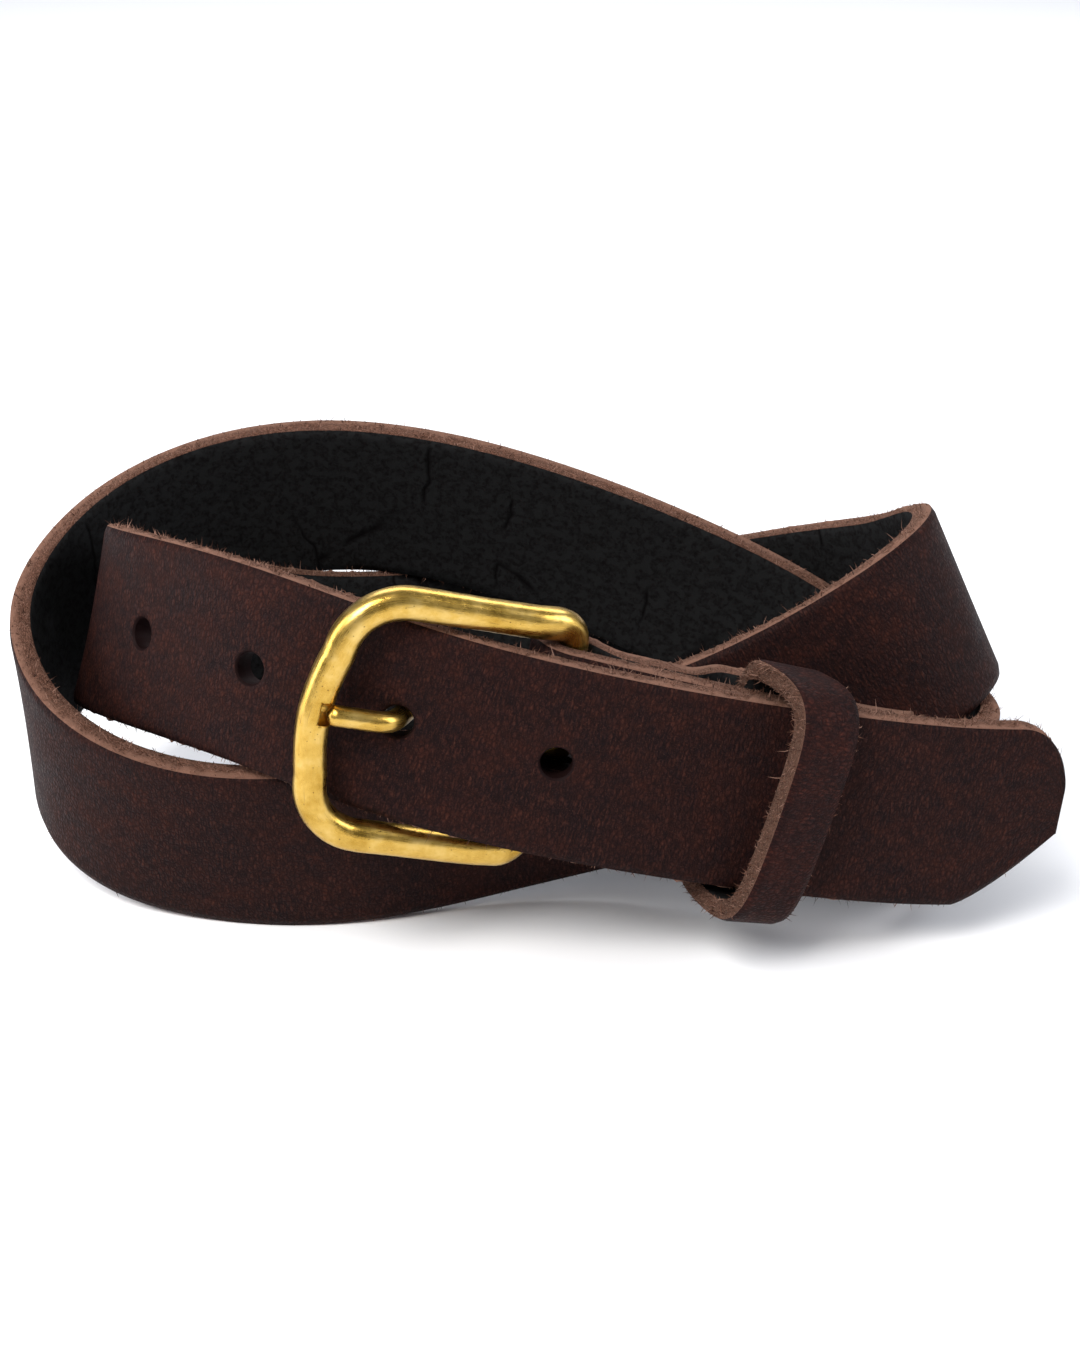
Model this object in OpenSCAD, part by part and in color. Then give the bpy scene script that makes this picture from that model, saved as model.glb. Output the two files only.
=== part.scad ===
// Leather belt, buckled and coiled in two turns, standing on its lower edge.
// X runs along the coil, Y towards its back, Z up. Millimetres.

/* [Strap] */
// Width of the strap
strap_w = 32; // [30:0.5:32]
// Thickness of the strap leather
strap_t = 4; // [3.6:0.1:4]
// Length of the straight cut on the lower side of the tip
tip_len = 16; // [12:1:20]
// Length of the rounded corner on the upper side of the tip
tip_round = 10; // [8:1:16]

/* [Punched holes] */
// Diameter of each adjustment hole
hole_d = 5.2; // [5:0.1:5.6]
// Distance between neighbouring holes
hole_pitch = 25.4; // [18:0.1:25.4]
// Number of holes, counted from the tip
hole_count = 5; // [3:1:6]

/* [Buckle] */
// Diameter of the bar that the strap folds round
bar_d = 5; // [4.6:0.1:5]
// Width across the frame, over both side bars
frame_h = 45; // [45:0.2:47]
// Reach from the heel bar's axis to the front bar's axis
frame_reach = 36; // [36:0.5:40]
// Diameter of the tongue
tongue_d = 3.4; // [3:0.1:3.5]

/* [Keeper] */
// Width of the keeper loop
keeper_w = 10; // [8:0.5:12]
// Thickness of the keeper leather
keeper_t = 3.5; // [3:0.1:3.6]

/* [Screw sets] */
// Diameter of the post and screw heads
head_d = 9; // [7:0.5:10]
// Diameter of the post's barrel
barrel_d = 5; // [4:0.5:5]

/* [Hidden] */
leather = [0.27, 0.16, 0.13];
brass = [0.80, 0.65, 0.30];
steel = [0.70, 0.71, 0.73];
eps = 0.02;                 // keeps the faces of seated pieces apart
over = 1;                   // overrun of a cutter past the faces it opens

// The strap's centre line from the heel bar to the tip: x, y, z and the lean
// of its upper edge away from the coil's middle, in degrees.
route = [
    [1.5, -38.2, 36.3, -6], [20, -38, 31.5, -5], [38, -36.5, 26.5, -2],
    [54, -33.5, 21.3, 3], [67, -27, 17, 9], [74, -15, 14.4, 16],
    [73, -2, 13.8, 15], [65, 10, 15.3, 8], [54, 19.5, 20, 2],
    [40, 26.5, 27, -4], [23, 31.5, 34, -9], [4, 35.2, 41, -12],
    [-18, 38.8, 47, -14], [-41, 42, 48.6, -14], [-63, 38.5, 45.5, -8],
    [-80, 27.5, 39, -2], [-88.5, 12, 32, 2], [-90.2, -3, 26, 1],
    [-84, -17.6, 20, 4], [-71.5, -27.6, 16, 8], [-56, -32.5, 14.4, 12],
    [-40, -33.8, 14.2, 10], [-22, -31, 15.4, 8], [-5, -24.7, 17.2, 4],
    [14, -20.3, 20.8, -1], [34, -20.3, 27.5, -9], [50, -19.5, 35.8, -16],
    [62.4, -15.5, 43, -22], [71.6, -6, 46.6, -28], [74, 8, 44, -25],
    [69.6, 20, 36.6, -15], [58, 30, 31, -6], [42, 38, 24.5, 0],
    [20, 43.5, 18, 5], [-6, 46.5, 14.6, 8], [-31, 41.7, 14.4, 8],
    [-51, 34.5, 18, 3], [-67, 25.5, 26.5, -4], [-76, 14, 35, -11],
    [-78.4, 3, 40.4, -16], [-71.6, -9.4, 44.2, -17], [-59.4, -22, 47, -17],
    [-44.6, -34.2, 48.2, -15], [-22, -42, 42.4, -11], [2, -43.4, 36.2, -7],
    [26, -42.5, 30.8, -5], [48, -40.5, 26.4, -4], [68, -37, 22.5, -2],
    [84.8, -32.3, 20.8, 0]
];
seat = [3.1, 1.3, 1.84];    // brings the middle of the footprint to the origin

// Uniform cubic B-spline through four neighbouring values, and its slope.
function spline(a, b, c, d, t) =
    (a * pow(1 - t, 3) + b * (3 * pow(t, 3) - 6 * pow(t, 2) + 4)
     + c * (-3 * pow(t, 3) + 3 * pow(t, 2) + 3 * t + 1) + d * pow(t, 3)) / 6;
function spline_slope(a, b, c, d, t) =
    (-a * pow(1 - t, 2) + b * (3 * pow(t, 2) - 4 * t)
     + c * (-3 * pow(t, 2) + 2 * t + 1) + d * pow(t, 2)) / 2;
function unit(v) = v / norm(v);
function xyz(v) = [v[0], v[1], v[2]];

// Frames along the strap: [centre, along, across (up), outward (grain side)].
ends = len(route) - 1;
knots = concat([2 * route[0] - route[1]], route, [2 * route[ends] - route[ends - 1]]);
function steps(i) = i < ends - 2 ? 4 : 12;
stations = concat([for (i = [0 : ends - 1]) for (k = [0 : steps(i) - 1]) [i, k / steps(i)]],
                  [[ends - 1, 1]]);
function frame(i, t) =
    let (p = spline(knots[i], knots[i + 1], knots[i + 2], knots[i + 3], t),
         d = spline_slope(knots[i], knots[i + 1], knots[i + 2], knots[i + 3], t),
         along = unit(xyz(d)),
         side = unit(cross(along, [0, 0, 1])),
         up = cross(side, along))
    [xyz(p) + seat, along,
     up * cos(p[3]) + side * sin(p[3]), side * cos(p[3]) - up * sin(p[3])];
frames = [for (st = stations) frame(st[0], st[1])];
last = len(frames) - 1;
travel = [for (i = 0, s = 0; i <= last;
               i = i + 1, s = i <= last ? s + norm(frames[i][0] - frames[i - 1][0]) : s) s];
strap_len = travel[last];

// The frame at a distance s along the strap from the heel bar.
index_table = [for (i = [0 : last]) [travel[i], i]];
function between(i, f, k) = frames[i][k] * (1 - f) + frames[min(i + 1, last)][k] * f;
function frame_at(s) =
    let (n = lookup(s, index_table), i = floor(n), f = n - i,
         along = unit(between(i, f, 1)),
         lean = between(i, f, 2),
         across = unit(lean - along * (lean * along)))
    [between(i, f, 0), along, across, cross(along, across)];
module on_strap(s) {
    f = frame_at(s);
    multmatrix([[f[1].x, f[2].x, f[3].x, f[0].x],
                [f[1].y, f[2].y, f[3].y, f[0].y],
                [f[1].z, f[2].z, f[3].z, f[0].z],
                [0, 0, 0, 1]])
        children();
}

// The fold round the heel bar, and the turned-back end behind the strap.
bore_gap = 0.1;
fold_r = bar_d / 2 + bore_gap + strap_t / 2;
clamp_gap = 0.15;
screw_near_s = 14;
keeper_s = 33;
screw_far_s = 52;
turn_back_len = 60;
clamp_half = 5;             // half length of the flat under each screw head
bulge_run = 7;              // length of each slope beside the keeper
keeper_room = 0.6;          // play on each side of the keeper's back run
function ease(a, b, t) = let (k = min(1, max(0, t))) a + (b - a) * k * k * (3 - 2 * k);
clamped = strap_t + clamp_gap;
bulged = strap_t + keeper_t + 2 * keeper_room;
function turn_back_offset(s) =
    s < screw_near_s ? ease(2 * fold_r, clamped, s / (screw_near_s - clamp_half))
    : s < keeper_s ? ease(clamped, bulged, (s - screw_near_s - clamp_half) / bulge_run)
    : ease(bulged, clamped, (s - screw_far_s + clamp_half + bulge_run) / bulge_run);

// Reach of the strap above and below its centre line at a distance s. The tip is
// rounded above and cut straight below, and its blunt end sits above the middle.
end_above = 5;
end_below = 3.5;
function tip_part(s, len) = max(0, 1 - (strap_len - s) / len);
function above(s) =
    end_above + (strap_w / 2 - end_above) * pow(1 - pow(tip_part(s, tip_round), 2.2), 0.6);
function below(s) =
    end_below + (strap_w / 2 - end_below) * (1 - pow(tip_part(s, tip_len), 1.25));
function main_section(i) =
    let (a = above(travel[i]), b = below(travel[i]))
    [frames[i][0] + frames[i][2] * (a - b) / 2, frames[i][2], frames[i][3], (a + b) / 2];

// Strap sections: [centre, across, towards the grain side, half width].
turn_back_step = 2;
function turn_back_section(s) =
    let (f = frame_at(s))
    [f[0] - f[3] * turn_back_offset(s), f[2], -f[3], strap_w / 2];
heel_frame = frames[0];
heel = heel_frame[0] - heel_frame[3] * fold_r;
fold_step = 15;
function fold_section(a) =
    let (g = heel_frame[3] * cos(a) - heel_frame[1] * sin(a))
    [heel + g * fold_r, heel_frame[2], g, strap_w / 2];
sections = concat(
    [for (s = [turn_back_len : -turn_back_step : turn_back_step]) turn_back_section(s)],
    [for (a = [180 : -fold_step : fold_step]) fold_section(a)],
    [for (i = [0 : last]) main_section(i)]);

// A band of rectangular sections, each [centre, across, thickness way, half width].
function corners(s, t) = [
    s[0] + s[1] * s[3] + s[2] * t / 2, s[0] - s[1] * s[3] + s[2] * t / 2,
    s[0] - s[1] * s[3] - s[2] * t / 2, s[0] + s[1] * s[3] - s[2] * t / 2];
function quad_faces(a, b, c, d) = [[a, b, c], [a, c, d]];
function ring_faces(i, j, sides) =
    [for (k = [0 : sides - 1]) let (m = (k + 1) % sides)
        each quad_faces(i * sides + k, j * sides + k, j * sides + m, i * sides + m)];
function cap(i, sides) = [for (k = [0 : sides - 1]) i * sides + k];
function reversed(v) = [for (i = [len(v) - 1 : -1 : 0]) v[i]];
module band(list, t) {
    n = len(list);
    polyhedron([for (s = list) each corners(s, t)],
               concat([cap(0, 4)],
                      [for (i = [0 : n - 2]) each ring_faces(i, i + 1, 4)],
                      [reversed(cap(n - 1, 4))]));
}

// Adjustment holes, measured back from the tip; the tongue is in the second.
tongue_hole = 2;
tongue_hole_s = strap_len - 110.15;
function hole_s(n) = tongue_hole_s - (n - tongue_hole) * hole_pitch;

// The buckle's own axes: X along the strap, Y across it on the heel bar, Z outward.
module at_heel() {
    on_strap(0)
        translate([0, 0, -fold_r])
            children();
}

// Slot in the fold that the tongue turns in
slot_w = 6.4;
slot_run = 7;
module tongue_slot() {
    at_heel()
        translate([-fold_r - strap_t, -slot_w / 2, -fold_r - strap_t])
            cube([fold_r + strap_t + slot_run, slot_w, 2 * (fold_r + strap_t)]);
}

// Screw sets: a flanged post from the front and a screw from the back, both
// heads sunk flush in the leather.
sink = 1.2;
barrel_gap = 0.05;
front_floor = strap_t / 2 - sink;
back_floor = -strap_t / 2 - clamped + sink;
stack_back = -strap_t / 2 - clamped;
module screw_hole() {
    translate([0, 0, stack_back - over])
        cylinder(h = strap_t + clamped + 2 * over, d = barrel_d + 2 * barrel_gap, $fn = 48);
    translate([0, 0, front_floor])
        cylinder(h = sink + over, d = head_d + 2 * barrel_gap, $fn = 48);
    translate([0, 0, stack_back - over])
        cylinder(h = sink + over, d = head_d + 2 * barrel_gap, $fn = 48);
}

module strap() {
    color(leather)
        difference() {
            band(sections, strap_t);
            at_heel()
                rotate([90, 0, 0])
                    cylinder(h = strap_w + 2 * over, d = bar_d + 2 * bore_gap, center = true, $fn = 64);
            tongue_slot();
            for (n = [1 : hole_count])
                on_strap(hole_s(n))
                    cylinder(h = strap_t + 2 * over, d = hole_d, center = true, $fn = 48);
            for (s = [screw_near_s, screw_far_s])
                on_strap(s)
                    screw_hole();
        }
}

// Buckle frame: a round bar bent in a closed loop, dished towards its heel.
bar_y = frame_h / 2 - bar_d / 2;
heel_corner = 3.6;
front_corner = 9.5;
front_bow = 1.6;
front_rise = 11.3;
heel_rise = 3.8;
rise_run = 5;
function dish(x) =
    x > -rise_run ? -x / rise_run * heel_rise
    : heel_rise - (x + rise_run) / (frame_reach - rise_run) * (front_rise - heel_rise);
function dished(p) = [p[0], p[1], dish(max(-frame_reach, p[0]))];
function arc(cx, cy, r, a0, a1, n) =
    [for (k = [0 : n]) let (a = a0 + (a1 - a0) * k / n) [cx + r * cos(a), cy + r * sin(a)]];
bow_span = bar_y - front_corner;
function bow(y) = -front_bow * (1 - pow(y / bow_span, 2));
side_stops = [-9, -15, -21];
half_path = concat(
    [[0, bar_y - heel_corner - 2.5], [0, bar_y - heel_corner]],
    arc(-heel_corner, bar_y - heel_corner, heel_corner, 15, 90, 5),
    [for (x = side_stops) [x, bar_y]],
    arc(front_corner - frame_reach, bow_span, front_corner, 90, 180, 8),
    [for (k = [3 : -1 : 1]) let (y = bow_span * k / 4) [bow(y) - frame_reach, y]]);
mirrored = [for (p = reversed(half_path)) [p[0], -p[1]]];
frame_path = [for (p = concat(half_path, [[bow(0) - frame_reach, 0]], mirrored)) dished(p)];

// A round tube along a path; each ring turns with the path's own direction.
function path_way(path, i) = unit(path[min(i + 1, len(path) - 1)] - path[max(i - 1, 0)]);
module tube(path, r, sides, up) {
    n = len(path);
    polyhedron([for (i = [0 : n - 1])
                    let (w = path_way(path, i), a = unit(cross(w, up)), b = cross(w, a))
                    each [for (k = [0 : sides - 1]) let (t = 360 * k / sides)
                          path[i] + a * r * cos(t) + b * r * sin(t)]],
               concat([cap(0, sides)],
                      [for (i = [0 : n - 2]) each ring_faces(i, i + 1, sides)],
                      [reversed(cap(n - 1, sides))]));
}
frame_sides = 14;
frame_drop = -0.6;          // the frame hangs a little low in its fold
tube_ease = 0.02;           // the tube's ends stay inside the heel bar
heel_len = 2 * (bar_y - heel_corner);
notch_depth = 2.6;
notch_gap = 0.25;
notch_overrun = 1.1;
tongue_rest = front_rise + bar_d / 2 + tongue_d / 2 - notch_depth;

module buckle_frame() {
    color(brass)
        at_heel()
            difference() {
                translate([0, frame_drop, 0])
                    union() {
                        rotate([90, 0, 0])
                            cylinder(h = heel_len, d = bar_d, center = true, $fn = 64);
                        tube(frame_path, bar_d / 2 - tube_ease, frame_sides, [0, 0, 1]);
                    }
                arm_run(arm_path[2], arm_path[3], tongue_d + 2 * notch_gap, notch_overrun);
            }
}

// Tongue: an eye on the heel bar and an arm that steps out through the hole.
eye_d = 9;
eye_w = 5.8;
eye_gap = 0.06;
arm_path = [[-3, 0.9], [-22.9, 0.9], [-25.7, 11.1], [-35.8, tongue_rest]];
bend_run = 2.4;             // length of arm on each side of a corner that the bend takes
function bend(a, p, b) =
    let (from = p - unit(p - a) * bend_run, to = p + unit(b - p) * bend_run)
    [for (k = [0 : 4]) let (t = k / 4)
        from * pow(1 - t, 2) + p * 2 * t * (1 - t) + to * pow(t, 2)];
arm_line = concat([arm_path[0]], bend(arm_path[0], arm_path[1], arm_path[2]),
                  bend(arm_path[1], arm_path[2], arm_path[3]), [arm_path[3]]);
arm_sides = 20;
module arm_run(a, b, d, longer) {
    way = b - a;
    translate([a[0], 0, a[1]])
        rotate([0, atan2(way[0], way[1]), 0])
            cylinder(h = norm(way) + longer, d = d, $fn = 32);
}
module tongue() {
    color(brass)
        at_heel()
            difference() {
                union() {
                    rotate([90, 0, 0])
                        cylinder(h = eye_w, d = eye_d, center = true, $fn = 64);
                    tube([for (p = arm_line) [p[0], 0, p[1]]], tongue_d / 2, arm_sides, [0, 1, 0]);
                }
                rotate([90, 0, 0])
                    cylinder(h = eye_w + 2 * over, d = bar_d + 2 * eye_gap, center = true, $fn = 64);
            }
}

// Keeper: a closed leather loop, flat behind the strap and bulged in front,
// with its front drawn towards the tip. Points are across and outward.
keeper_back = -strap_t / 2 - keeper_room - keeper_t / 2;
keeper_outline = [
    [-9, keeper_back], [9, keeper_back], [17.4, keeper_back], [19.8, keeper_back + 1.8],
    [20.9, 3.5], [21.1, 9], [17.9, 12.9], [7, 13.2], [-4, 13.2], [-13.6, 12.6],
    [-18, 9.6], [-18.9, 3.5], [-19, keeper_back + 1.8], [-17.2, keeper_back]];
keeper_draw = 0.31;         // shift towards the tip for each mm outward
keeper_front = 13 - keeper_back;
outline_n = len(keeper_outline);
loop_steps = 5;
function loop_point(i, t) =
    spline(keeper_outline[i % outline_n], keeper_outline[(i + 1) % outline_n],
           keeper_outline[(i + 2) % outline_n], keeper_outline[(i + 3) % outline_n], t);
function loop_slope(i, t) =
    spline_slope(keeper_outline[i % outline_n], keeper_outline[(i + 1) % outline_n],
                 keeper_outline[(i + 2) % outline_n], keeper_outline[(i + 3) % outline_n], t);
function loop_section(i, t) =
    let (p = loop_point(i, t),
         d = loop_slope(i, t),
         out = (p[1] - keeper_back) / keeper_front,
         x = keeper_draw * (p[1] - keeper_back),
         yaw = atan(keeper_draw) * out,
         wide = [cos(yaw), 0, -sin(yaw)],
         way = unit([keeper_draw * d[1], d[0], d[1]]),
         thick = unit(cross(wide, way)))
    [[x, p[0], p[1]], wide, -thick, keeper_w / 2];
loop_sections = [for (i = [0 : outline_n - 1]) for (k = [0 : loop_steps - 1])
                     loop_section(i, k / loop_steps)];

// Staple through the keeper's back run, its crown behind and its points in front
staple_w = 8;
wire_d = 0.8;
wire_gap = 0.1;
staple_crown = keeper_back - keeper_t / 2 + wire_d / 2 + wire_gap;
staple_point = keeper_back + keeper_t / 2 - wire_d / 2 - wire_gap;
point_len = 3;
module staple_wire(d, reach) {
    translate([0, 0, staple_crown])
        rotate([90, 0, 0])
            cylinder(h = staple_w + d, d = d, center = true, $fn = 24);
    for (side = [-1, 1]) {
        translate([0, side * staple_w / 2, staple_crown])
            cylinder(h = staple_point - staple_crown, d = d, $fn = 24);
        translate([0, side * (staple_w / 2 + d / 2), staple_point])
            rotate([side * 90, 0, 0])
                cylinder(h = point_len + d, d = d, $fn = 24);
    }
}
module staple_groove() {
    staple_wire(wire_d + 2 * wire_gap);
    translate([-wire_d / 2 - wire_gap, -staple_w / 2 - wire_d, staple_crown - over])
        cube([wire_d + 2 * wire_gap, staple_w + 2 * wire_d, over]);
    translate([-wire_d / 2 - wire_gap, -staple_w / 2 - wire_d, staple_point])
        cube([wire_d + 2 * wire_gap, staple_w + 2 * wire_d, over]);
}

module keeper() {
    n = len(loop_sections);
    color(leather)
        on_strap(keeper_s)
            difference() {
                polyhedron([for (s = loop_sections) each corners(s, keeper_t)],
                           [for (i = [0 : n - 1]) each ring_faces(i, (i + 1) % n, 4)]);
                staple_groove();
            }
}

module keeper_staple() {
    color(steel)
        on_strap(keeper_s)
            staple_wire(wire_d);
}

// Post: head in the strap's face, barrel through both layers, blind bore.
bore_d = 3;
bore_roof = 0.8;
drive_slot = 1;
drive_depth = 0.5;
module screw_post(s) {
    color(steel)
        on_strap(s)
            difference() {
                union() {
                    translate([0, 0, front_floor + eps])
                        cylinder(h = sink - 2 * eps, d = head_d, $fn = 48);
                    translate([0, 0, back_floor + eps])
                        cylinder(h = front_floor - back_floor + sink / 2, d = barrel_d, $fn = 48);
                }
                translate([0, 0, back_floor - over])
                    cylinder(h = front_floor - back_floor + over - bore_roof, d = bore_d, $fn = 48);
            }
}

// Screw: slotted head in the turned-back end, shank up the post's bore.
shank_d = 2.9;
shank_short = 1.2;
module back_screw(s) {
    color(steel)
        on_strap(s)
            difference() {
                union() {
                    translate([0, 0, stack_back + eps])
                        cylinder(h = sink - 2 * eps, d = head_d, $fn = 48);
                    translate([0, 0, back_floor - sink / 2])
                        cylinder(h = front_floor - back_floor + sink / 2 - shank_short, d = shank_d,
                                 $fn = 48);
                }
                translate([-head_d, -drive_slot / 2, stack_back - over])
                    cube([2 * head_d, drive_slot, over + drive_depth]);
            }
}

module screw_post_near_buckle() { screw_post(screw_near_s); }
module screw_near_buckle() { back_screw(screw_near_s); }
module screw_post_past_keeper() { screw_post(screw_far_s); }
module screw_past_keeper() { back_screw(screw_far_s); }

strap();
buckle_frame();
tongue();
keeper();
keeper_staple();
screw_post_near_buckle();
screw_near_buckle();
screw_post_past_keeper();
screw_past_keeper();
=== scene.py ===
"""Leather belt, buckled and coiled in two turns on its edge, with a brass buckle."""
import math

import bpy
import numpy as np
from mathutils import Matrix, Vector, noise


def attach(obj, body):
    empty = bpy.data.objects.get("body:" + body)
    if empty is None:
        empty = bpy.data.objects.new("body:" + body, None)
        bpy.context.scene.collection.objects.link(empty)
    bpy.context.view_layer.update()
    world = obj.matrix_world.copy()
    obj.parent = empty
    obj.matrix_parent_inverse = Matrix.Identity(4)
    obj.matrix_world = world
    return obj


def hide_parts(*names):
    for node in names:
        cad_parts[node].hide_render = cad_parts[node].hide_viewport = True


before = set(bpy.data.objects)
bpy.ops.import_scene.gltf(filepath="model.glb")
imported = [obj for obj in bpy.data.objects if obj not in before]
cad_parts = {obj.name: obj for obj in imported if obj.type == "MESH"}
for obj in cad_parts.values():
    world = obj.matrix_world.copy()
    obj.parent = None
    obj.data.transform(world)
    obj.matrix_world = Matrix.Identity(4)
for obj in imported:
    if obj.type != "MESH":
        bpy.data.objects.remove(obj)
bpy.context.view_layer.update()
MM = 0.001

# ---------------------------------------------------------------- sizes, as in the CAD, in mm
STRAP_W, STRAP_T = 32.0, 4.0
TIP_CUT, TIP_ROUND, END_ABOVE, END_BELOW = 16.0, 10.0, 5.0, 3.5
SEAT = np.array([3.1, 1.3, 1.84])
BAR_R, BORE_GAP = 2.5, 0.1
FOLD_R = BAR_R + BORE_GAP + STRAP_T / 2
CLAMPED, SCREW_NEAR, SCREW_FAR, CLAMP_HALF = 4.15, 14.0, 52.0, 5.0
KEEPER_S, KEEPER_W, KEEPER_T, KEEPER_ROOM = 33.0, 10.0, 3.5, 0.6
BULGE_RUN, TURN_BACK = 7.0, 60.0
HOLE_D, HOLE_PITCH, TONGUE_HOLE_FROM_TIP = 5.2, 25.4, 110.15
HEAD_D, BARREL_D, SINK = 9.0, 5.0, 1.2
FRAME_H, FRAME_REACH, FRAME_DROP = 45.0, 36.0, -0.6
FRONT_RISE, HEEL_RISE, RISE_RUN = 11.3, 3.8, 5.0
FRONT_BOW, FRONT_CORNER, HEEL_CORNER = 1.6, 9.5, 3.6
TONGUE_D = 3.4

# The strap's centre line from the heel bar to the tip: x, y, z and lean in degrees.
ROUTE = np.array([
    [1.5, -38.2, 36.3, -6], [20, -38, 31.5, -5], [38, -36.5, 26.5, -2],
    [54, -33.5, 21.3, 3], [67, -27, 17, 9], [74, -15, 14.4, 16],
    [73, -2, 13.8, 15], [65, 10, 15.3, 8], [54, 19.5, 20, 2],
    [40, 26.5, 27, -4], [23, 31.5, 34, -9], [4, 35.2, 41, -12],
    [-18, 38.8, 47, -14], [-41, 42, 48.6, -14], [-63, 38.5, 45.5, -8],
    [-80, 27.5, 39, -2], [-88.5, 12, 32, 2], [-90.2, -3, 26, 1],
    [-84, -17.6, 20, 4], [-71.5, -27.6, 16, 8], [-56, -32.5, 14.4, 12],
    [-40, -33.8, 14.2, 10], [-22, -31, 15.4, 8], [-5, -24.7, 17.2, 4],
    [14, -20.3, 20.8, -1], [34, -20.3, 27.5, -9], [50, -19.5, 35.8, -16],
    [62.4, -15.5, 43, -22], [71.6, -6, 46.6, -28], [74, 8, 44, -25],
    [69.6, 20, 36.6, -15], [58, 30, 31, -6], [42, 38, 24.5, 0],
    [20, 43.5, 18, 5], [-6, 46.5, 14.6, 8], [-31, 41.7, 14.4, 8],
    [-51, 34.5, 18, 3], [-67, 25.5, 26.5, -4], [-76, 14, 35, -11],
    [-78.4, 3, 40.4, -16], [-71.6, -9.4, 44.2, -17], [-59.4, -22, 47, -17],
    [-44.6, -34.2, 48.2, -15], [-22, -42, 42.4, -11], [2, -43.4, 36.2, -7],
    [26, -42.5, 30.8, -5], [48, -40.5, 26.4, -4], [68, -37, 22.5, -2],
    [84.8, -32.3, 20.8, 0]])


# ---------------------------------------------------------------- the strap's line
def unit(v):
    """Each row of v, or v itself, at length one."""
    return v / np.linalg.norm(v, axis=-1, keepdims=True)


def spline_rows(knots, i, t):
    """Uniform cubic B-spline and its slope at segment i and parameter t, for arrays of both."""
    a, b, c, d = (knots[i + k] for k in range(4))
    t = t[:, None]
    point = (a * (1 - t) ** 3 + b * (3 * t**3 - 6 * t**2 + 4)
             + c * (-3 * t**3 + 3 * t**2 + 3 * t + 1) + d * t**3) / 6
    slope = (-a * (1 - t) ** 2 + b * (3 * t**2 - 4 * t)
             + c * (-3 * t**2 + 2 * t + 1) + d * t**2) / 2
    return point, slope


class StrapLine:
    """Frames along the strap: centre P, along T, across W and outward N, by distance in mm."""

    def __init__(self):
        self.knots = np.vstack([2 * ROUTE[0] - ROUTE[1], ROUTE, 2 * ROUTE[-1] - ROUTE[-2]])
        count = len(ROUTE) - 1
        u = np.linspace(0, count, count * 40 + 1)
        points = self._rows(u)[0]
        gaps = np.linalg.norm(np.diff(points, axis=0), axis=1)
        self.u, self.s = u, np.concatenate([[0], np.cumsum(gaps)])
        self.length = self.s[-1]

    def _rows(self, u):
        i = np.minimum(u.astype(int), len(ROUTE) - 2)
        p, d = spline_rows(self.knots, i, u - i)
        along = unit(d[:, :3])
        side = unit(np.cross(along, [0.0, 0.0, 1.0]))
        up = np.cross(side, along)
        lean = np.radians(p[:, 3:4])
        across = up * np.cos(lean) + side * np.sin(lean)
        out = side * np.cos(lean) - up * np.sin(lean)
        return p[:, :3] + SEAT, along, across, out

    def at(self, s):
        """(P, T, W, N) as arrays, one row for each distance in s."""
        s = np.atleast_1d(np.asarray(s, float))
        return self._rows(np.interp(s, self.s, self.u))

    def one(self, s):
        """Centre, along, across and outward at a single distance s."""
        return tuple(rows[0] for rows in self.at(s))


LINE = StrapLine()
P0, T0, W0, N0 = LINE.one(0.0)
HEEL = P0 - N0 * FOLD_R


def at_heel(points):
    """Points given along, across and outward of the heel bar's axis, in the object's frame, mm."""
    points = np.asarray(points, float)
    return HEEL + points[:, :1] * T0 + points[:, 1:2] * W0 + points[:, 2:3] * N0


def ease(a, b, t):
    """From a to b with no kink at either end, as t goes from 0 to 1."""
    t = np.clip(t, 0, 1)
    return a + (b - a) * t * t * (3 - 2 * t)


def turn_back_offset(s):
    """How far behind the strap's centre the turn-back's centre lies at a distance s."""
    bulged = STRAP_T + KEEPER_T + 2 * KEEPER_ROOM
    if s < SCREW_NEAR:
        return ease(2 * FOLD_R, CLAMPED, s / (SCREW_NEAR - CLAMP_HALF))
    if s < KEEPER_S:
        return ease(CLAMPED, bulged, (s - SCREW_NEAR - CLAMP_HALF) / BULGE_RUN)
    return ease(bulged, CLAMPED, (s - SCREW_FAR + CLAMP_HALF + BULGE_RUN) / BULGE_RUN)


def reach(s):
    """How far the strap reaches above and below its centre line at a distance s."""
    top = np.maximum(0, 1 - (LINE.length - s) / TIP_ROUND)
    low = np.maximum(0, 1 - (LINE.length - s) / TIP_CUT)
    above = END_ABOVE + (STRAP_W / 2 - END_ABOVE) * (1 - top**2.2) ** 0.6
    below = END_BELOW + (STRAP_W / 2 - END_BELOW) * (1 - low**1.25)
    return above, below


def strap_sections(step):
    """Centre, across, grain direction, reaches and running length of each section."""
    rows = []
    back = np.arange(TURN_BACK, 0, -step)
    p, _, w, n = LINE.at(back)
    for k, s in enumerate(back):
        rows.append((p[k] - n[k] * turn_back_offset(s), w[k], -n[k], STRAP_W / 2, STRAP_W / 2))
    for a in np.radians(np.arange(180, 0, -7.5)):
        grain = N0 * np.cos(a) - T0 * np.sin(a)
        rows.append((HEEL + grain * FOLD_R, W0, grain, STRAP_W / 2, STRAP_W / 2))
    body = np.arange(0, LINE.length - TIP_CUT, step)
    tip = LINE.length - TIP_CUT * np.linspace(1, 0, 44) ** 1.8
    main = np.concatenate([body, tip])
    p, _, w, n = LINE.at(main)
    above, below = reach(main)
    for k in range(len(main)):
        rows.append((p[k], w[k], n[k], above[k], below[k]))
    centre, across, grain = (np.array([r[i] for r in rows]) for i in range(3))
    reaches = np.array([r[3:] for r in rows])
    run = np.concatenate([[0], np.cumsum(np.linalg.norm(np.diff(centre, axis=0), axis=1))])
    return centre, across, grain, reaches, run


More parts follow.
